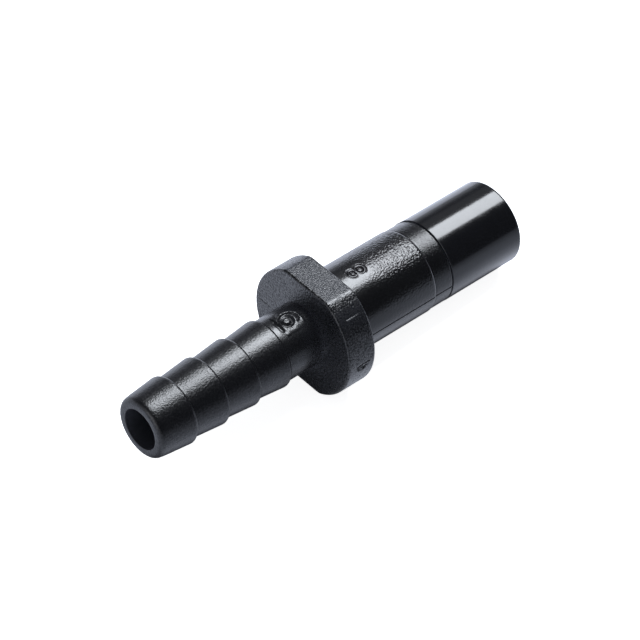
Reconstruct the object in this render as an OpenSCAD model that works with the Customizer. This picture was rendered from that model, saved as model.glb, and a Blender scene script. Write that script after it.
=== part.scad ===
// One moulded connector: a barbed tail for a soft hose, a collar with two spanner flats
// and a round stem that pushes into a tube fitting. Millimetres.
// It lies as it comes to rest: on the edge of one flat and on the end of the stem.

/* [Stem] */
// Diameter of the smooth end that a fitting seals on
seal_d = 8; // [7.5:0.05:9]
// Length of the smooth end
seal_len = 8.55; // [5:0.05:15]
// Diameter of the satin band behind it
band_d = 7.95; // [7.4:0.05:9]
// Length of the satin band
band_len = 2.1; // [0.5:0.05:5]
// Diameter of the grained length between the band and the collar
grip_d = 8.1; // [7.5:0.05:9]
// Length of the grained part
grip_len = 9.1; // [4:0.05:20]
// Width of the fine round-bottomed groove where the smooth end begins
groove_w = 0.14; // [0.05:0.01:0.3]
// Radius on the edge at the stem's end
end_r = 0.27; // [0.1:0.01:0.6]
// Diameter of the passage through the stem
stem_bore_d = 5; // [4.6:0.1:5.6]

/* [Collar] */
// Diameter over the collar's round sides
collar_d = 12.2; // [11.6:0.1:18]
// Thickness of the collar
collar_t = 3.05; // [2:0.05:6]
// Width across the two spanner flats
flats_w = 11; // [9:0.1:11.4]
// Radius on the collar's edges
collar_r = 0.2; // [0.05:0.05:0.5]

/* [Barbed tail] */
// Number of barbs
barb_count = 4; // [2:1:8]
// Length of the first barb, from the mouth to its crest
nose_len = 3.86; // [2:0.01:6]
// Distance from one crest to the next
barb_pitch = 3.58; // [2:0.01:6]
// The same distance for the barb beside the neck
last_pitch = 3.44; // [2:0.01:6]
// Length from the last crest to the collar
neck_len = 3.9; // [2:0.05:10]
// Diameter of the neck
neck_d = 5.95; // [5.6:0.05:6.2]
// Diameter of a barb where its cone begins
root_d = 5.88; // [5.6:0.01:6.1]
// Diameter of a barb where its cone ends, before the crest is rounded
crest_d = 6.54; // [6.4:0.01:7.5]
// Radius on each crest
crest_r = 0.35; // [0.25:0.01:0.45]
// Plain round length at the foot of a crest, before the next cone begins
root_land = 0.1; // [0.05:0.01:0.5]
// Radius on the edge of the mouth
mouth_r = 0.5; // [0.1:0.01:0.8]
// Radius in the corner between the neck and the collar
neck_fillet = 0.25; // [0.1:0.05:0.8]
// Diameter of the passage through the tail
tail_bore_d = 3.9; // [3:0.1:4.2]

/* [Hidden] */
$fn = 96;
overcut = 1;
// How far a cone's end is set into the round of its crest, so that the two meet cleanly
sink = 0.002;

// Places along the part's own axis, counted from the collar's face on the tail side
x_mouth = -(neck_len + last_pitch + (barb_count - 2) * barb_pitch + nose_len);
x_band = collar_t + grip_len;
x_seal = x_band + band_len;
x_end = x_seal + seal_len;

function crest_x(i) =
    i == barb_count - 1 ? -neck_len : -neck_len - last_pitch - (barb_count - 2 - i) * barb_pitch;

// The two rounded edges that it rests on, each as [x, z] of the centre of its radius
rest_collar = [collar_t - collar_r, collar_r - flats_w / 2];
rest_stem = [x_end - end_r, end_r - seal_d / 2];
rest_span = rest_stem - rest_collar;

// How far the stem dips below level, and how high the axis is where it meets the collar's face
dip = atan2(rest_span[1], rest_span[0]) + asin((collar_r - end_r) / norm(rest_span));
lift = rest_collar[0] * sin(dip) - rest_collar[1] * cos(dip) + collar_r;

// The two ends of the part as it lies, and the middle between them
reach_mouth = (x_mouth + mouth_r) * cos(dip) - (root_d / 2 - mouth_r) * sin(dip) - mouth_r;
reach_stem = (x_end - end_r) * cos(dip) + (seal_d / 2 - end_r) * sin(dip) + end_r;
middle = (reach_mouth + reach_stem) / 2;

// Turns a shape that stands along Z to run along X
module along_x() {
    rotate([0, 90, 0]) children();
}

module lay_down() {
    translate([-middle, 0, lift]) rotate([0, dip, 0]) children();
}

// Outlines are drawn with the radius along X and the part's axis along Y

// A bar from the axis outwards, with its outer corner at the far end rounded
module rounded_bar(radius, y_from, y_to, corner_r) {
    translate([0, y_from]) square([radius, y_to - y_from - corner_r]);
    translate([0, y_from]) square([radius - corner_r, y_to - y_from]);
    translate([radius - corner_r, y_to - corner_r]) circle(corner_r);
}

// A rectangle with all its corners rounded
module rounded_rectangle(w, h, corner_r) {
    translate([corner_r, 0]) square([w - 2 * corner_r, h]);
    translate([0, corner_r]) square([w, h - 2 * corner_r]);
    for (x = [corner_r, w - corner_r], y = [corner_r, h - corner_r])
        translate([x, y]) circle(corner_r);
}

// One barb: a cone that widens to the crest, the rounded crest, and the drop to the next root
module barb_outline(y_from, y_crest) {
    slope = (crest_d - root_d) / 2 / (y_crest - y_from);
    lean = atan(slope);
    y_centre = y_crest - crest_r;
    r_centre = crest_d / 2 - crest_r * slope - crest_r / cos(lean);
    polygon([
        [0, y_from],
        [root_d / 2, y_from],
        [r_centre + (crest_r - sink) * cos(lean), y_centre - (crest_r - sink) * sin(lean)],
        [r_centre, y_centre],
        [r_centre, y_crest],
        [0, y_crest]
    ]);
    translate([r_centre, y_centre]) circle(crest_r);
    translate([0, y_centre]) square([root_d / 2, crest_r + root_land]);
}

module tail_outline() {
    mirror([0, 1]) rounded_bar(root_d / 2, -x_mouth - 2 * mouth_r, -x_mouth, mouth_r);
    barb_outline(x_mouth + mouth_r, crest_x(0));
    for (i = [1 : barb_count - 1])
        barb_outline(crest_x(i - 1) + root_land, crest_x(i));
    translate([0, -neck_len - crest_r]) square([neck_d / 2, neck_len + crest_r + collar_t]);
    difference() {
        translate([0, -neck_fillet]) square([neck_d / 2 + neck_fillet, neck_fillet + collar_t / 2]);
        translate([neck_d / 2 + neck_fillet, -neck_fillet]) circle(neck_fillet);
    }
}

// Barbed tail and neck, which run on into the collar
module barbed_tail() {
    along_x() rotate_extrude() tail_outline();
}

// Round collar, cut by a slab with rounded edges that leaves the two spanner flats
module collar() {
    intersection() {
        along_x() rotate_extrude() intersection() {
            translate([-collar_d / 2, 0]) rounded_rectangle(collar_d, collar_t, collar_r);
            square(collar_d);
        }
        translate([0, collar_d, -flats_w / 2]) rotate([90, 0, 0])
            linear_extrude(2 * collar_d) rounded_rectangle(collar_t, flats_w, collar_r);
    }
}

// Grained length, satin band and smooth end, with the fine groove where the smooth end begins
module stem() {
    along_x() rotate_extrude() difference() {
        union() {
            square([grip_d / 2, x_band]);
            square([band_d / 2, x_seal + groove_w / 2]);
            rounded_bar(seal_d / 2, x_seal + groove_w / 2, x_end, end_r);
        }
        translate([band_d / 2, x_seal + groove_w / 2]) circle(groove_w / 2);
    }
}

// Passage: narrow through the tail, wider through the stem, with a taper as long as the collar
module passage() {
    along_x() {
        translate([0, 0, x_mouth - overcut]) cylinder(d = tail_bore_d, h = overcut - x_mouth);
        cylinder(d1 = tail_bore_d, d2 = stem_bore_d, h = collar_t);
        translate([0, 0, collar_t]) cylinder(d = stem_bore_d, h = x_end - collar_t + overcut);
    }
}

module connector_body() {
    color([0.1, 0.1, 0.11]) lay_down() difference() {
        union() {
            barbed_tail();
            collar();
            stem();
        }
        passage();
    }
}

connector_body();
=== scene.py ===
import math

import bmesh
import bpy
from mathutils import Matrix, Vector


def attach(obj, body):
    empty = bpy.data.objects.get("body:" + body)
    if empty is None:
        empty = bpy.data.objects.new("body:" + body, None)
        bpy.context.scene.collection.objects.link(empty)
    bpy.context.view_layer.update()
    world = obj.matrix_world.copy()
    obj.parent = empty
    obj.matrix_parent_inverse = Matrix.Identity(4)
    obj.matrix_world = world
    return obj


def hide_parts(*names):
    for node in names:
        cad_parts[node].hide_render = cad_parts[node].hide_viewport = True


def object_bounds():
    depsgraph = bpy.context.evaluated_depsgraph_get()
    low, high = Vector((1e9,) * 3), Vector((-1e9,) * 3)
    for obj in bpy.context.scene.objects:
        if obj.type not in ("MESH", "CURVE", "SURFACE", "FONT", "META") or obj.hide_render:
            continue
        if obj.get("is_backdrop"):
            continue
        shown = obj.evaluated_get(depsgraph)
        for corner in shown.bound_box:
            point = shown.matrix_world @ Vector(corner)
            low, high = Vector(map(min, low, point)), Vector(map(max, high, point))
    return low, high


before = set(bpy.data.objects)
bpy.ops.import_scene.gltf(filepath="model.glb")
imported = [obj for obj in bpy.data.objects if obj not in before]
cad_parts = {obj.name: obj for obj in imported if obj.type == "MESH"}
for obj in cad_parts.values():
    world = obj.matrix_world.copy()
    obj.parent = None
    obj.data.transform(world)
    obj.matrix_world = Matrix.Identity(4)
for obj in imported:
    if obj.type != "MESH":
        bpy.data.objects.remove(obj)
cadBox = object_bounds()
print("frame loaded")

# The part's own sizes in millimetres, as its solid has them
# x runs along its axis towards the stem's end, from 0 at the side of the collar that faces the tail
part = {
    "mouth": -18.36,
    "mouthRound": 0.5,
    "crests": (-14.5, -10.92, -7.34, -3.9),
    "rootRadius": 2.94,
    "crestRadius": 3.27,
    "crestRound": 0.35,
    "rootLand": 0.1,
    "neckRadius": 2.975,
    "collarRadius": 6.1,
    "collarWidth": 3.05,
    "halfFlats": 5.5,
    "collarRound": 0.2,
    "flatEdge": 25.633,
    "gripRadius": 4.05,
    "gripEnd": 12.15,
    "bandRadius": 3.975,
    "bandEnd": 14.25,
    "grooveWidth": 0.14,
    "sealRadius": 4.0,
    "stemEnd": 22.8,
    "endRound": 0.27,
    "tailBore": 1.95,
    "stemBore": 2.5,
    "mouthCentre": 2.41,
    # The rounding of the mouth runs on softly into the first barb: distance from the mouth, radius
    "mouthShoulder": ((0.522, 2.924), (0.648, 2.9454), (0.774, 2.9631), (0.9, 2.9773)),
    # The grained length ends in a soft step: distance from its end, drop
    "gripStep": ((-0.1, 0), (-0.04, 0.006), (0.01, 0.018), (0.06, 0.036), (0.1, 0.058), (0.115, 0.155)),
}
flatEdge = part["flatEdge"]
flatCos = math.cos(math.radians(flatEdge))

# Finishes of the moulding, in the order of the mesh's material slots
zones = ("tail", "rim", "grip", "band", "seal", "hollow_painted_fill", "flat")


def steps(low, high, count):
    return [low + (high - low) * i / count for i in range(count + 1)]


def ease(low, high, value):
    f = min(max((value - low) / (high - low), 0.0), 1.0)
    return f * f * (3 - 2 * f)


def straight(places, radius):
    return [(x, radius) for x in places]


def arc(cx, cr, radius, start, stop, count):
    # Points of an arc as (x, r), with the angle counted from the radial direction towards the stem
    turns = [math.radians(a) for a in steps(start, stop, count)]
    return [(cx + radius * math.sin(a), cr + radius * math.cos(a)) for a in turns]


def barbRings(start, crest, foot):
    # A cone that widens to a rounded crest, which drops to the foot's radius
    root = part["rootRadius"]
    crestRound = part["crestRound"]
    slope = (part["crestRadius"] - root) / (crest - start)
    lean = math.atan(slope)
    cr = part["crestRadius"] - crestRound * slope - crestRound / math.cos(lean)
    cx = crest - crestRound
    topX = cx - crestRound * math.sin(lean)
    topR = cr + crestRound * math.cos(lean)
    shares = (0.012, 0.1, 0.22, 0.34, 0.46, 0.58, 0.7, 0.82, 0.93)
    cone = [(start + (topX - start) * f, root + (topR - root) * f) for f in shares]
    drop = math.degrees(math.acos((foot - cr) / crestRound))
    return cone + arc(cx, cr, crestRound, -math.degrees(lean), drop, 9)


def tailRings():
    mouth = part["mouth"]
    mouthRound = part["mouthRound"]
    rings = [(mouth, 2.0), (mouth, 2.2)]
    rings += arc(mouth + mouthRound, part["mouthCentre"], mouthRound, -90, -12, 8)
    rings += [(mouth + away, radius) for away, radius in part["mouthShoulder"]]
    start = mouth + mouthRound
    for crest in part["crests"]:
        last = crest == part["crests"][-1]
        foot = part["neckRadius"] if last else part["rootRadius"]
        cone = barbRings(start, crest, foot)
        # The first barb leaves out two rings, which the mouth's rounding takes up
        rings += cone[2:] if crest == part["crests"][0] else cone
        start = crest + part["rootLand"]
        if not last:
            rings += straight((start - 0.05, start), foot)
    neck = part["neckRadius"]
    rings += straight((-3.87, -3.75, -3.6, -3.48), neck)
    rings += straight(steps(-3.4, -0.86, 54), neck)
    rings += straight((-0.78, -0.65, -0.5, -0.35, -0.2, -0.06), neck)
    return rings


def rimRings():
    # Round the collar, as (x, inset)
    bend = part["collarRound"]
    wide = part["collarWidth"]
    turns = [math.radians(a) for a in (15, 30, 45, 60, 75, 90)]
    rings = [(bend - bend * math.cos(a), bend - bend * math.sin(a)) for a in turns]
    rings += straight([0.3, 0.5, 0.68, 0.75] + steps(0.85, 2.45, 14) + [2.52, 2.6, 2.75], 0.0)
    rings += [(wide - bend + bend * math.cos(a), bend - bend * math.sin(a)) for a in reversed(turns)]
    return rings


def outerRings():
    # Every ring of the outside, from the mouth to the stem's end, as (x, form, value, zone)
    rings = []

    def add(points, zone, form="round"):
        rings.extend((x, form, value, zone) for x, value in points)

    wide = part["collarWidth"]
    grip = part["gripRadius"]
    gripEnd = part["gripEnd"]
    band = part["bandRadius"]
    bandEnd = part["bandEnd"]
    grooveEnd = bandEnd + part["grooveWidth"]
    seal = part["sealRadius"]
    end = part["stemEnd"]
    endRound = part["endRound"]
    add(tailRings(), "tail")
    add([(0, value) for value in (0.0, 0.02, 0.3, 0.6, 0.85, 0.97, 1.0)], "rim", "face")
    add(rimRings(), "rim", "rim")
    add([(wide, value) for value in (1.0, 0.96, 0.8, 0.5, 0.2, 0.02, 0.0)], "rim", "back")
    add(straight([3.09, 3.2, 3.34] + steps(3.5, 4.58, 6), grip), "grip")
    add(straight(steps(4.64, 7.04, 74) + steps(7.2, 11.92, 16), grip), "grip")
    add([(gripEnd + away, grip - drop) for away, drop in part["gripStep"]], "grip")
    add([(gripEnd + 0.16, band - 0.006), (gripEnd + 0.19, band)], "band")
    add(straight(steps(gripEnd + 0.28, bandEnd - 0.1, 9) + [bandEnd - 0.03], band), "band")
    add([(bandEnd - 0.005, band - 0.012)], "band")
    add([(bandEnd, band - 0.2), (grooveEnd, band - 0.2), (grooveEnd + 0.005, band)], "hollow_painted_fill")
    add(straight([grooveEnd + 0.03] + steps(14.6, 22.4, 16), seal), "seal")
    add(arc(end - endRound, seal - endRound, endRound, 0, 90, 8), "seal")
    add([(end, radius) for radius in (3.6, 3.2, 2.8, 2.56)], "seal")
    return rings


def boreRings():
    # The passage, from the stem's end back to the mouth
    end = part["stemEnd"]
    mouth = part["mouth"]
    rings = [(end, 2.515), (end - 0.015, 2.5)]
    rings += straight((22.5, 20, 16, 12, 8, 5, part["collarWidth"]), part["stemBore"])
    rings += straight((0.0, -3, -7, -11, -14, -16, -17.4, -18.1, mouth + 0.03), part["tailBore"])
    rings += [(mouth + 0.006, 1.966)]
    return [(x, "round", radius, "hollow_painted_fill") for x, radius in rings]


def angleList():
    # Close together where the numbers stand, at the flats' edges and at the mould's parting lines
    stretches = ((-17, 21, 95), (22.5, 86.5, 30), (87.2, 101.2, 20), (103, 341.2, 84))
    angles = {round(a, 3) for low, high, count in stretches for a in steps(low, high, count)}
    edges = [(angle, 0.7) for angle in (flatEdge, 180 - flatEdge, 180 + flatEdge, 360 - flatEdge)]
    for mark, reach in edges + [(90, 1.0), (270, 1.0), (marks["flashAngle"], marks["flashHalf"])]:
        angles -= {a for a in angles if abs(a - mark) < reach + 0.25}
        angles |= {round(mark + share * reach, 3) for share in (-1, -0.4, 0, 0.4, 1)}
    return sorted(angles)


def softMin(a, b, width):
    # The lower of two values, with the corner between them rounded off
    gap = max(width - abs(a - b), 0.0) / width
    return min(a, b) - gap * gap * width / 4


def collarReach(angle, inset):
    flat = (part["halfFlats"] - inset) / max(abs(math.cos(math.radians(angle))), 0.2)
    return softMin(part["collarRadius"] - inset, flat, 0.15)


def ringStroke(cx, cv, alongReach, roundReach, start=0, stop=360):
    turns = [math.radians(a) for a in steps(start, stop, 24)]
    return [(cx + alongReach * math.cos(a), cv + roundReach * math.sin(a)) for a in turns]


# The plain numbers that tell the hose and tube sizes, on the unrolled surface
# Each stroke is its height, its half width and its line as (x, distance round)
numbers = {
    "six": {
        "angle": 3.4,
        "radius": 2.975,
        "rim": 0.032,
        "strokes": [
            (-0.15, 0.24, ringStroke(-2.17, -0.03, 0.53, 0.54)),
            (
                -0.15,
                0.13,
                [(-2.42, -0.66), (-2.05, -0.83), (-1.74, -0.85), (-1.42, -0.7), (-1.2, -0.45), (-1.1, -0.18)],
            ),
            (-0.15, 0.17, [(-1.1, -0.18), (-1.1, 0.1), (-1.13, 0.28), (-1.22, 0.42)]),
            (-0.15, 0.24, [(-3.08, -1.5), (-3.155, -0.5), (-3.14, 0.66)]),
        ],
    },
    "eight": {
        "angle": 2.6,
        "radius": 4.05,
        "rim": 0.0,
        "strokes": [
            (0.035, 0.12, ringStroke(5.43, 0.0, 0.4, 0.42)),
            (0.035, 0.12, ringStroke(6.24, 0.0, 0.46, 0.48)),
            (-0.075, 0.09, ringStroke(5.43, 0.0, 0.22, 0.24)),
            (-0.075, 0.095, ringStroke(6.24, 0.0, 0.27, 0.29)),
            (-0.07, 0.08, ringStroke(6.24, 0.0, 0.62, 0.64, -70, 60)),
            (-0.02, 0.06, ringStroke(5.43, 0.0, 0.56, 0.58, 60, 300)),
            (0.012, 0.1, ringStroke(5.43, 0.0, 0.7, 0.74, 215, 300)),
            (0.014, 0.1, ringStroke(6.24, 0.0, 0.78, 0.8, 225, 330)),
        ],
    },
}

# What the mould left on the part, in millimetres and degrees, and where a painted highlight goes beside the
# flats
marks = {
    "seamDepth": 0.05,
    "tailSeamDepth": 0.008,
    "faceSeam": 0.04,
    "flashAngle": 45.5,
    "flashHalf": 0.7,
    "flashHeight": 0.034,
    "grooveWidest": 295,
    "grooveLean": 0.09,
    "grooveLip": 0.05,
    # Painted highlight: the round side is painted pale towards the flat, between these cosines of its angle,
    # for the light that the flat's edge catches
    "paintedStripBy": (0.87675, 0.90175),
    "tearDepth": 0.17,
    # Tears where the sprue was cut off, each as its half width and its line of (x, angle)
    "tears": (
        (0.07, ((0.95, 91.2), (1.5, 90.3), (2.35, 90.2))),
        (0.17, ((1.0, 93.4), (1.2, 95.2))),
        (0.13, ((1.6, 96.2), (1.85, 95.4))),
        (0.05, ((1.3, 93.2), (1.7, 93.8), (2.0, 92.6))),
    ),
}


def lineDistance(line, x, v):
    best = math.inf
    for (ax, av), (bx, bv) in zip(line, line[1:]):
        dx, dv = bx - ax, bv - av
        f = ((x - ax) * dx + (v - av) * dv) / (dx * dx + dv * dv)
        f = min(max(f, 0.0), 1.0)
        best = min(best, math.hypot(x - ax - f * dx, v - av - f * dv))
    return best


def numberHeight(number, x, angle):
    # How far a number raises or cuts the surface, and how near it is
    v = math.radians(angle - number["angle"]) * number["radius"]
    if abs(v) > 1.3:
        return 0.0, 0.0
    low = high = 0.0
    gap = math.inf
    for height, half, line in number["strokes"]:
        if x < -2.88:
            # The straight stroke comes to a point on the far side
            taper = max(ease(-1.25, -0.45, v), 0.001)
            half, height = half * taper, height * taper
        away = lineDistance(line, x, v)
        core = max(1 - away / half, 0.0)
        # Cuts have steep walls, raised strokes are gently rounded
        low = min(low, core * height)
        high = max(high, (1 - (1 - core) ** 2) ** 2 * height)
        gap = min(gap, away - half)
    # Each cut has a raised lip, which spreads out towards the near side
    near = ease(0.1, 0.7, v)
    rise = 0.13 + 0.1 * near
    lip = (1 + 0.1 * near) * ease(-0.03, rise, gap) * (1 - ease(rise, 0.36 + 0.55 * near, gap))
    if x < -3.1:
        lip = 0.0
    return low + high + lip * number["rim"], 1 - ease(0.1, 0.45, gap)


def tearShare(x, angle):
    around = part["collarRadius"]
    share = 0.0
    for half, line in marks["tears"]:
        flat = [(lineX, math.radians(lineAngle) * around) for lineX, lineAngle in line]
        share = max(share, 1 - lineDistance(flat, x, math.radians(angle) * around) / half)
    return share


def seamShare(angle):
    # One on the mould's two parting lines, nothing a degree away
    return max(1 - min(abs(angle - 90), abs(angle - 270)), 0.0)


def acrossCollar(inner, value, angle):
    return inner + (collarReach(angle, part["collarRound"]) - inner) * value


def rimPoint(x, inset, angle):
    radius = collarReach(angle, inset)
    if 0.7 < x < 2.5:
        fade = 1 - 0.4 * ease(1.6, 2.4, x)
        flash = max(1 - abs(angle - marks["flashAngle"]) / marks["flashHalf"], 0.0)
        radius += marks["flashHeight"] * fade * flash
    if 86 < angle < 102:
        radius -= marks["tearDepth"] * tearShare(x, angle)
    # Smooth along the upper flat's near edge, roughest just past it
    past = angle - flatEdge
    texture = 0.15 + 0.25 * ease(0.3, 1.5, abs(past))
    texture += 0.14 * ease(1, 3, past) * (1 - ease(8, 18, past))
    upright = abs(math.cos(math.radians(angle)))
    # Painted sheen: the round side is painted paler in a band between about 31 and 60 degrees from upright;
    # painted highlight makes the flats and the strip just past their edges paler still
    paintedLight = 0.22 * ease(0.5, 0.72, upright) * (1 - 0.8 * ease(0.78, 0.86, upright))
    if 0.2 < x < 2.84:
        paintedLight = max(paintedLight, 0.8 * ease(*marks["paintedStripBy"], upright))
    return x, radius, texture, paintedLight


def gripPoint(x, radius, turned):
    mark, held = numberHeight(numbers["eight"], x, turned) if 4.5 < x < 7.2 else (0.0, 0.0)
    radius += mark - 0.006
    texture = (0.25 + 0.75 * ease(5.0, 8.5, x)) * (1 - 0.93 * held)
    paintedLight = 0.0
    if x > 5:
        texture *= 1 - 0.45 * ease(20, 40, turned)
    if x > part["gripEnd"] - 0.05:
        texture *= 0.4
        # Painted highlight: the end edge of the grained length is painted paler, most on the near side, for
        # the light its rounded step catches
        paintedLight = (0.08 * ease(10, 20, turned) + 0.5 * ease(28, 58, turned)) * ease(12.1, 12.2, x)
    if x > part["gripEnd"] + 0.11:
        radius += 0.075 * ease(15, 45, turned)
    return x, radius, texture, paintedLight


def tailPoint(x, radius, turned):
    # The texture gets weaker from the mouth to the neck
    texture = 0.85 - 0.17 * ease(-11, -9, x)
    texture -= 0.25 * ease(-7.5, -5.5, x) + 0.28 * ease(-4.2, -3.6, x)
    if -3.6 < x < -0.8:
        mark, held = numberHeight(numbers["six"], x, turned)
        radius += mark
        texture += 0.8 * held * ease(13, 17, turned)
    # Painted fill light: the neck is painted paler towards the collar, where the collar's shadow falls on it
    paintedLight = 0.3 * ease(-2.6, -0.6, x) + 0.7 * ease(-0.7, 0.0, x)
    return x, radius, texture, paintedLight


def surfacePoint(ring, angle):
    # Where a point of the surface lies, how strong its texture is and how much painted light lightens it
    x, form, value, zone = ring
    seam = seamShare(angle)
    # Both sides of the collar are paler all over, and the tail-side face has painted fill light, paler
    # towards the neck where the corner lies in shade
    if form == "face":
        if angle > 180 and 0.1 < value < 0.9:
            x += marks["faceSeam"] * seam
        return x, acrossCollar(part["neckRadius"], value, angle), 0.6, 0.3 + 0.6 * (1 - ease(0, 0.4, value))
    if form == "back":
        return x, acrossCollar(part["gripRadius"], value, angle), 0.6, 0.3
    if form == "rim":
        return rimPoint(x, value, angle)
    turned = angle if angle < 180 else angle - 360
    if zone == "grip":
        x, radius, texture, paintedLight = gripPoint(x, value, turned)
    elif zone == "tail":
        x, radius, texture, paintedLight = tailPoint(x, value, turned)
    else:
        radius, texture, paintedLight = value, 1.0, 0.0
    if zone in ("grip", "band"):
        radius -= marks["seamDepth"] * seam
    if zone == "tail" and x < part["crests"][-1]:
        radius -= marks["tailSeamDepth"] * seam
    if -0.05 < x - part["bandEnd"] < 0.01:
        # The groove is widest on the far side, with a thin lip of flash beside it
        side = max(math.cos(math.radians(angle - marks["grooveWidest"])), 0.0)
        x -= marks["grooveLean"] * side
        if x < part["bandEnd"] - 0.015 and zone == "band":
            radius += marks["grooveLip"] * side * side
    return x, radius, texture, paintedLight


def restingPlace():
    # The part lies on its collar's lower edge and on its stem's end
    collarRound = part["collarRound"]
    endRound = part["endRound"]
    mouthRound = part["mouthRound"]
    collarX, collarZ = part["collarWidth"] - collarRound, collarRound - part["halfFlats"]
    stemX, stemZ = part["stemEnd"] - endRound, endRound - part["sealRadius"]
    spanX, spanZ = stemX - collarX, stemZ - collarZ
    dip = math.atan2(spanZ, spanX) + math.asin((collarRound - endRound) / math.hypot(spanX, spanZ))
    lift = collarX * math.sin(dip) - collarZ * math.cos(dip) + collarRound
    mouthX = part["mouth"] + mouthRound
    mouthReach = mouthX * math.cos(dip) - (part["rootRadius"] - mouthRound) * math.sin(dip) - mouthRound
    stemReach = stemX * math.cos(dip) - stemZ * math.sin(dip) + endRound
    return dip, lift, (mouthReach + stemReach) / 2


def placed(x, radius, angle, rest):
    # From the part's own axis to the row frame, in metres
    dip, lift, middle = rest
    turn = math.radians(angle)
    y = -radius * math.sin(turn)
    z = radius * math.cos(turn)
    forward = x * math.cos(dip) + z * math.sin(dip) - middle
    height = -x * math.sin(dip) + z * math.cos(dip) + lift
    return Vector((forward, y, height)) / 1000


def makeBody():
    rings = outerRings() + boreRings()
    angles = angleList()
    rest = restingPlace()
    bm = bmesh.new()
    amount = bm.verts.layers.float.new("texture_amount")
    painted_light = bm.verts.layers.float.new("painted_light")
    # A closed line with a point for each ring is spun to a sleeve, whose points then find their places
    line = [bm.verts.new((i, 0, 1)) for i in range(len(rings))]
    line += [bm.edges.new(pair) for pair in zip(line, line[1:] + line[:1])]
    full = 2 * math.pi
    count = len(angles)
    bmesh.ops.spin(bm, geom=line, axis=(1, 0, 0), cent=(0, 0, 0), steps=count, angle=full, use_merge=True)
    # For each point its ring and the cosine of its angle
    spots = {}
    for vert in bm.verts:
        i = round(vert.co.x)
        j = round(math.atan2(-vert.co.y, vert.co.z) / full * count) % count
        spots[vert] = i, abs(math.cos(math.radians(angles[j])))
        x, radius, vert[amount], vert[painted_light] = surfacePoint(rings[i], angles[j])
        vert.co = placed(x, radius, angles[j], rest)
    for face in bm.faces:
        low, high = sorted({spots[vert][0] for vert in face.verts})
        after = high if high == low + 1 else 0
        upright = sum(spots[vert][1] for vert in face.verts) / len(face.verts)
        even = rings[after - 1][1:3] == rings[after][1:3] == ("rim", 0.0)
        zone = "flat" if even and upright > flatCos else rings[after][3]
        face.material_index = zones.index(zone)
        face.smooth = True
    bmesh.ops.recalc_face_normals(bm, faces=bm.faces)
    for edge in bm.edges:
        if edge.calc_face_angle(0) > math.radians(32):
            edge.smooth = False
    mesh = bpy.data.meshes.new("connector_moulding")
    bm.to_mesh(mesh)
    bm.free()
    piece = bpy.data.objects.new("connector_moulding", mesh)
    bpy.context.scene.collection.objects.link(piece)
    print("moulding", len(mesh.vertices), "vertices", len(mesh.polygons), "faces")
    return piece


def mouldTexture():
    # Three sizes of mould texture: a cloud, cells as coarse as the scale says, and a fine tooth
    group = bpy.data.node_groups.new("mould_texture", "ShaderNodeTree")
    for name in ("Cell scale", "Fine scale"):
        group.interface.new_socket(name, in_out="INPUT", socket_type="NodeSocketFloat")
    for name in ("Cloud", "Cells", "Fine"):
        group.interface.new_socket(name, in_out="OUTPUT", socket_type="NodeSocketFloat")
    nodes, links = group.nodes, group.links
    given = nodes.new("NodeGroupInput")
    out = nodes.new("NodeGroupOutput")
    place = nodes.new("ShaderNodeTexCoord")
    layers = (("Cloud", None, 3.0), ("Cells", "Cell scale", 1.0), ("Fine", "Fine scale", 2.0))
    for name, scale, detail in layers:
        noise = nodes.new("ShaderNodeTexNoise")
        noise.inputs["Scale"].default_value = 420.0
        noise.inputs["Detail"].default_value = detail
        noise.inputs["Roughness"].default_value = 0.55
        links.new(place.outputs["Object"], noise.inputs["Vector"])
        if scale:
            links.new(given.outputs[scale], noise.inputs["Scale"])
        links.new(noise.outputs["Fac"], out.inputs[name])
    return group


def spread(tree, noise, low, high):
    # The middle of a noise, stretched from low to high
    node = tree.nodes.new("ShaderNodeMapRange")
    node.inputs["From Min"].default_value = 0.3
    node.inputs["From Max"].default_value = 0.7
    node.inputs["To Min"].default_value = low
    node.inputs["To Max"].default_value = high
    tree.links.new(noise, node.inputs["Value"])
    return node.outputs["Result"]


def timesPlus(tree, value, factor, addend):
    node = tree.nodes.new("ShaderNodeMath")
    node.operation = "MULTIPLY_ADD"
    node.inputs[1].default_value = factor
    tree.links.new(value, node.inputs[0])
    tree.links.new(addend, node.inputs[2])
    return node.outputs["Value"]


def attribute(tree, name):
    node = tree.nodes.new("ShaderNodeAttribute")
    node.attribute_name = name
    return node.outputs["Fac"]


def bump(tree, strength, height, distance):
    node = tree.nodes.new("ShaderNodeBump")
    node.inputs["Distance"].default_value = distance
    tree.links.new(strength, node.inputs["Strength"])
    tree.links.new(height, node.inputs["Height"])
    return node


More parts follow.
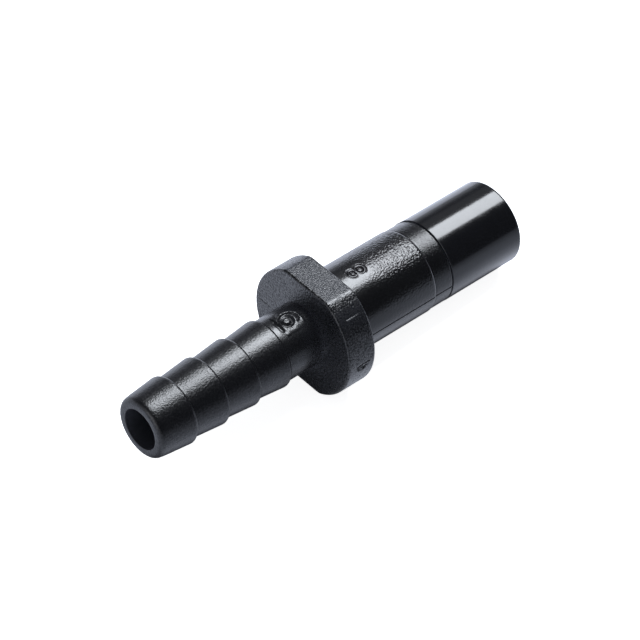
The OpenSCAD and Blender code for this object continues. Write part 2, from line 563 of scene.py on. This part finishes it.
def plastic(name, group, values):
    material = bpy.data.materials.new(name)
    material.use_nodes = True
    tree = material.node_tree
    nodes, links = tree.nodes, tree.links
    shader = nodes["Principled BSDF"]
    shader.inputs["IOR"].default_value = values["ior"]
    grain = nodes.new("ShaderNodeGroup")
    grain.node_tree = group
    grain.inputs["Cell scale"].default_value = values["cells"]
    grain.inputs["Fine scale"].default_value = values["fine"]
    amount = attribute(tree, "texture_amount")
    tone = nodes.new("ShaderNodeMix")
    tone.data_type = "RGBA"
    tone.inputs["A"].default_value = (*values["dark"], 1)
    tone.inputs["B"].default_value = (*values["light"], 1)
    # The tone mixes the cloud's random tone with painted light from the painted_light attribute
    share = timesPlus(tree, grain.outputs["Cloud"], values["cloud"], attribute(tree, "painted_light"))
    links.new(share, tone.inputs["Factor"])
    links.new(tone.outputs["Result"], shader.inputs["Base Color"])
    rough = spread(tree, grain.outputs["Cells"], *values["rough"])
    links.new(timesPlus(tree, amount, values["roughMore"], rough), shader.inputs["Roughness"])
    if values["speckle"]:
        # Uneven gloss from cell to cell, duller where the texture is strong
        gloss = spread(tree, grain.outputs["Cells"], 0.5 - values["speckle"], 0.5 + values["speckle"])
        links.new(timesPlus(tree, amount, -values["dull"], gloss), shader.inputs["Specular IOR Level"])
    coarse = bump(tree, amount, grain.outputs["Cells"], values["cellDepth"])
    fine = bump(tree, amount, grain.outputs["Fine"], values["fineDepth"])
    links.new(coarse.outputs["Normal"], fine.inputs["Normal"])
    links.new(fine.outputs["Normal"], shader.inputs["Normal"])
    return material


# Three tones of the black plastic; the finishes take their colours from them. Their light colours are mostly
# painted light, reached where the painted_light attribute is high, and the grey tone is painted lighter than
# the black plastic
black = {
    "dark": (0.001, 0.0011, 0.0015),
    "light": (0.006, 0.0064, 0.0082),
    "cloud": 0.3,
    "roughMore": 0.0,
    "ior": 1.5,
    "speckle": 0.0,
}
sooty = {
    "dark": (0.0015, 0.0016, 0.0024),
    "light": (0.028, 0.03, 0.037),
    "cloud": 0.05,
    "roughMore": 0.0,
    "ior": 1.56,
    "speckle": 0.1,
    "dull": 0.0,
}
grey = {
    "dark": (0.011, 0.0116, 0.014),
    "light": (0.022, 0.0234, 0.0286),
    "cloud": 0.3,
    "roughMore": 0.0,
    "ior": 1.5,
    "speckle": 0.0,
}

# Scales are cells to the metre, depths are in metres
finishes = {
    "tail": {
        **sooty,
        "cells": 6500.0,
        "fine": 13000.0,
        "rough": (0.26, 0.295),
        "roughMore": 0.02,
        "ior": 1.61,
        "dull": 0.13,
        "cellDepth": 0.00003,
        "fineDepth": 0.000005,
    },
    "rim": {
        **sooty,
        "cells": 6500.0,
        "fine": 14000.0,
        "rough": (0.26, 0.31),
        "speckle": 0.38,
        "cellDepth": 0.0001,
        "fineDepth": 0.000015,
    },
    "grip": {
        **black,
        # Painted highlight: this light colour is reached mostly at the end edge of the grained length
        "light": (0.06, 0.062, 0.07),
        "cloud": 0.03,
        "cells": 5500.0,
        "fine": 12000.0,
        "rough": (0.2, 0.24),
        "ior": 1.56,
        "cellDepth": 0.000056,
        "fineDepth": 0.000008,
    },
    "band": {
        **black,
        "cells": 9000.0,
        "fine": 16000.0,
        "rough": (0.21, 0.25),
        "cellDepth": 0.00002,
        "fineDepth": 0.000008,
    },
    "seal": {
        **black,
        "dark": (0.0025, 0.0027, 0.0035),
        "cells": 900.0,
        "fine": 6000.0,
        "rough": (0.14, 0.17),
        "cellDepth": 0.000005,
        "fineDepth": 0.0000003,
    },
    # Painted fill light: the bore and the groove before the seal are painted a lighter grey than the black
    # plastic, where little light reaches
    "hollow_painted_fill": {
        **grey,
        "dark": (0.035, 0.037, 0.047),
        "light": (0.06, 0.063, 0.078),
        "cells": 2600.0,
        "fine": 9000.0,
        "rough": (0.35, 0.45),
        "cellDepth": 0.000004,
        "fineDepth": 0.000001,
    },
    # The flats have a coarser, rougher texture, and their grey is painted sheen, lighter than the black
    # plastic
    "flat": {
        **grey,
        "cells": 7500.0,
        "fine": 15000.0,
        "rough": (0.25, 0.31),
        "cellDepth": 0.00022,
        "fineDepth": 0.00002,
    },
}

body = makeBody()
texture = mouldTexture()
for zone in zones:
    body.data.materials.append(plastic("plastic_" + zone, texture, finishes[zone]))
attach(body, "root")
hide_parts("connector_body")
print("moulding done")

# One tall lamp above the part: its direction from the part, its long way, and its reach in degrees
light = {
    "aim": Vector((0.0, 0.0, 0.005)),
    "toward": Vector((0.57647839, 0.15813122, 0.80166526)),
    "along": Vector((0.81699233, -0.0947279, -0.5688147)),
    "distance": 0.6,
    "alongFrom": -26.0,
    "alongTo": 10.0,
    "across": 14.6,
    "shift": 0.5,
    "turned": 7.0,
    "turnedAbout": 3.5,
    "radiance": 14.8,
    "color": (0.9, 0.942, 1.0),
}


def softbox():
    toward = light["toward"].normalized()
    along = light["along"].normalized()
    across = along.cross(toward)
    distance = light["distance"]

    def reach(name):
        return distance * math.tan(math.radians(light[name]))

    low = reach("alongFrom")
    high = reach("alongTo")
    pivot = reach("turnedAbout")
    width = 2 * reach("across")
    lamp = bpy.data.lights.new("softbox", "AREA")
    lamp.shape = "RECTANGLE"
    lamp.size = width
    lamp.size_y = high - low
    lamp.energy = light["radiance"] * math.pi * width * (high - low)
    lamp.color = light["color"]
    centre = light["aim"] + toward * distance + along * pivot + across * reach("shift")
    turn = Matrix.Rotation(math.radians(light["turned"]), 3, toward)
    along, across = turn @ along, turn @ across
    centre += along * ((low + high) / 2 - pivot)
    holder = bpy.data.objects.new("softbox", lamp)
    holder.matrix_world = Matrix.Translation(centre) @ Matrix((across, along, toward)).transposed().to_4x4()
    bpy.context.scene.collection.objects.link(holder)


def ramp(tree, place, direction, low, high, stops):
    # Levels along a direction, as (position, level) with the positions from 0 to 1 between low and high
    way = tree.nodes.new("ShaderNodeVectorMath")
    way.operation = "DOT_PRODUCT"
    way.inputs[1].default_value = direction
    tree.links.new(place, way.inputs[0])
    share = tree.nodes.new("ShaderNodeMapRange")
    share.inputs["From Min"].default_value = low
    share.inputs["From Max"].default_value = high
    tree.links.new(way.outputs["Value"], share.inputs["Value"])
    node = tree.nodes.new("ShaderNodeValToRGB")
    elements = node.color_ramp.elements
    for position, height in stops[1:-1]:
        elements.new(position)
    for element, (position, height) in zip(elements, stops):
        element.color = (height * 0.96, height * 0.98, height * 1.04, 1)
    tree.links.new(share.outputs["Result"], node.inputs["Fac"])
    return node.outputs["Color"]


def joined(tree, kind, first, second):
    node = tree.nodes.new("ShaderNodeMix")
    node.data_type = "RGBA"
    node.blend_type = kind
    node.inputs["Factor"].default_value = 1
    tree.links.new(first, node.inputs["A"])
    tree.links.new(second, node.inputs["B"])
    return node.outputs["Result"]


def picked(tree, choice, plain, second):
    # A plain colour, or the second one where the choice is 1
    node = tree.nodes.new("ShaderNodeMix")
    node.data_type = "RGBA"
    node.inputs["A"].default_value = (*plain, 1)
    tree.links.new(choice, node.inputs["Factor"])
    tree.links.new(second, node.inputs["B"])
    return node.outputs["Result"]


# The room as the part's gloss shows it
# Each entry is a direction, its two ends and the levels between, or a plain colour
room = {
    "low": (
        (0, 0, 1),
        -0.05,
        0.75,
        [(0, 1.0), (0.13, 0.9), (0.22, 0.5), (0.33, 0.22), (0.45, 0.1), (0.7, 0.09), (1, 0.0)],
    ),
    "behind": ((-0.48, 0.88, 0.0), -0.6, -0.3, [(0, 0.0), (1, 1.0)]),
    "mouthSide": (
        (-0.943, -0.04, 0.33),
        0.55,
        1.0,
        [(0, 0.0), (0.33, 0.08), (0.67, 0.3), (0.8, 0.65), (0.9, 1.5), (1, 2.1)],
    ),
    "upper": (Vector((0.56, 0.54, 0.63)).normalized(), 0.95, 1.0, [(0, 0.0), (0.5, 0.2), (1, 0.25)]),
    "dark": (0.05, 0.053, 0.06, 1),
    "fill": (0.3, 0.305, 0.32, 1),
}


def studioWorld():
    # White for the camera, a soft fill for the rest, and in reflections pale low down behind the part and
    # dark above and in front
    world = bpy.data.worlds.new("studio")
    bpy.context.scene.world = world
    world.use_nodes = True
    tree = world.node_tree
    nodes, links = tree.nodes, tree.links
    nodes.clear()
    place = nodes.new("ShaderNodeTexCoord").outputs["Generated"]
    low = joined(tree, "MULTIPLY", ramp(tree, place, *room["low"]), ramp(tree, place, *room["behind"]))
    glow = joined(tree, "LIGHTEN", low, ramp(tree, place, *room["mouthSide"]))
    glow = joined(tree, "ADD", glow, ramp(tree, place, *room["upper"]))
    dark = nodes.new("ShaderNodeRGB").outputs["Color"]
    dark.default_value = room["dark"]
    studio = nodes.new("ShaderNodeBackground")
    links.new(joined(tree, "ADD", glow, dark), studio.inputs["Color"])
    fill = nodes.new("ShaderNodeBackground")
    fill.inputs["Color"].default_value = room["fill"]
    white = nodes.new("ShaderNodeBackground")
    white.inputs["Color"].default_value = (1, 1, 1, 1)
    rays = nodes.new("ShaderNodeLightPath")
    glossy = nodes.new("ShaderNodeMixShader")
    seen = nodes.new("ShaderNodeMixShader")
    links.new(rays.outputs["Is Glossy Ray"], glossy.inputs["Fac"])
    links.new(fill.outputs["Background"], glossy.inputs[1])
    links.new(studio.outputs["Background"], glossy.inputs[2])
    links.new(rays.outputs["Is Camera Ray"], seen.inputs["Fac"])
    links.new(glossy.outputs["Shader"], seen.inputs[1])
    links.new(white.outputs["Background"], seen.inputs[2])
    links.new(seen.outputs["Shader"], nodes.new("ShaderNodeOutputWorld").inputs["Surface"])


# The paper as the part's gloss shows it: it falls off in front and glows beside and behind the part
# After its half width and two plain colours, each entry is a direction, its two ends in metres and the
# levels between
paper = {
    "size": 2.5,
    "plain": (0.86, 0.865, 0.87),
    "seen": (0.86, 0.86, 0.86),
    "front": ((0.48, -0.88, 0), 0, 0.1, [(0, 0.7), (0.06, 0.66), (0.13, 0.53), (0.5, 0.33), (1, 0.24)]),
    "frontEnds": (
        (1, 0, 0),
        -0.006,
        0.026,
        [(0, 0.84), (0.4, 0.84), (0.6, 0.88), (0.85, 1.2), (1, 1.24)],
    ),
    "beside": (
        (0, -1, 0),
        0.002,
        0.012,
        [(0, 0.0), (0.1, 0.0), (0.24, 0.5), (0.4, 0.42), (0.6, 0.22), (1, 0.0)],
    ),
    "besideEnds": ((1, 0, 0), -0.006, 0.02, [(0, 0.7), (0.5, 1.1), (0.8, 1.1), (1, 1.35)]),
    "behindTail": (
        (-0.747, 0.664, 0),
        0.003,
        0.024,
        [(0, 0.0), (0.17, 0.15), (0.5, 0.3), (0.75, 0.22), (1, 0.06)],
    ),
    "behindStem": ((0.673, 0.739, 0), -0.006, 0.02, [(0, 0.0), (0.3, 0.25), (1, 0.5)]),
    "farSide": ((0, 1, 0), 0.002, 0.006, [(0, 0.0), (1, 1.0)]),
}


def studioFloor():
    bm = bmesh.new()
    bmesh.ops.create_grid(bm, x_segments=8, y_segments=8, size=paper["size"])
    mesh = bpy.data.meshes.new("studio_floor")
    bm.to_mesh(mesh)
    bm.free()
    floor = bpy.data.objects.new("studio_floor", mesh)
    bpy.context.scene.collection.objects.link(floor)
    material = bpy.data.materials.new("white_paper")
    material.use_nodes = True
    tree = material.node_tree
    nodes, links = tree.nodes, tree.links
    shader = nodes["Principled BSDF"]
    shader.inputs["Roughness"].default_value = 0.9
    shader.inputs["Specular IOR Level"].default_value = 0.2
    rays = nodes.new("ShaderNodeLightPath")
    glossy = rays.outputs["Is Glossy Ray"]
    place = nodes.new("ShaderNodeTexCoord").outputs["Object"]

    def both(kind, first, second):
        return joined(tree, kind, ramp(tree, place, *paper[first]), ramp(tree, place, *paper[second]))

    behind = both("LIGHTEN", "behindTail", "behindStem")
    behind = joined(tree, "MULTIPLY", behind, ramp(tree, place, *paper["farSide"]))
    glow = joined(tree, "ADD", both("MULTIPLY", "beside", "besideEnds"), behind)
    shade = both("MULTIPLY", "front", "frontEnds")
    links.new(picked(tree, glossy, paper["plain"], shade), shader.inputs["Base Color"])
    links.new(picked(tree, glossy, paper["seen"], glow), shader.inputs["Emission Color"])
    lit = nodes.new("ShaderNodeMath")
    lit.operation = "MAXIMUM"
    links.new(rays.outputs["Is Camera Ray"], lit.inputs[0])
    links.new(glossy, lit.inputs[1])
    links.new(lit.outputs["Value"], shader.inputs["Emission Strength"])
    mesh.materials.append(material)
    floor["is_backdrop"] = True


# The photograph's view: the focal length in pixels of a square frame, the camera's place and its axes
view = {
    "focal": 3577.16,
    "framePixels": 640,
    "sensor": 36,
    "place": Vector((-0.141307, -0.154939, 0.235299)),
    "right": Vector((0.74206411, -0.67031789, 0.00384592)),
    "up": Vector((0.49301973, 0.54965848, 0.67439387)),
    "back": Vector((-0.45417222, -0.49854737, 0.73836178)),
}


def photoCamera():
    lens = bpy.data.cameras.new("camera")
    lens.sensor_width = view["sensor"]
    lens.sensor_fit = "HORIZONTAL"
    lens.lens = view["focal"] / view["framePixels"] * view["sensor"]
    lens.clip_start = 0.02
    lens.clip_end = 20
    camera = bpy.data.objects.new("camera", lens)
    turn = Matrix((view["right"], view["up"], view["back"])).transposed()
    camera.matrix_world = Matrix.Translation(view["place"]) @ turn.to_4x4()
    bpy.context.scene.collection.objects.link(camera)
    bpy.context.scene.camera = camera


softbox()
studioWorld()
studioFloor()
photoCamera()
bpy.context.scene.view_settings.view_transform = "Standard"
print("studio done")

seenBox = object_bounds()
for name, corners in (("cad box", cadBox), ("visual box", seenBox)):
    print(name, [[round(c * 1000, 3) for c in corner] for corner in corners])
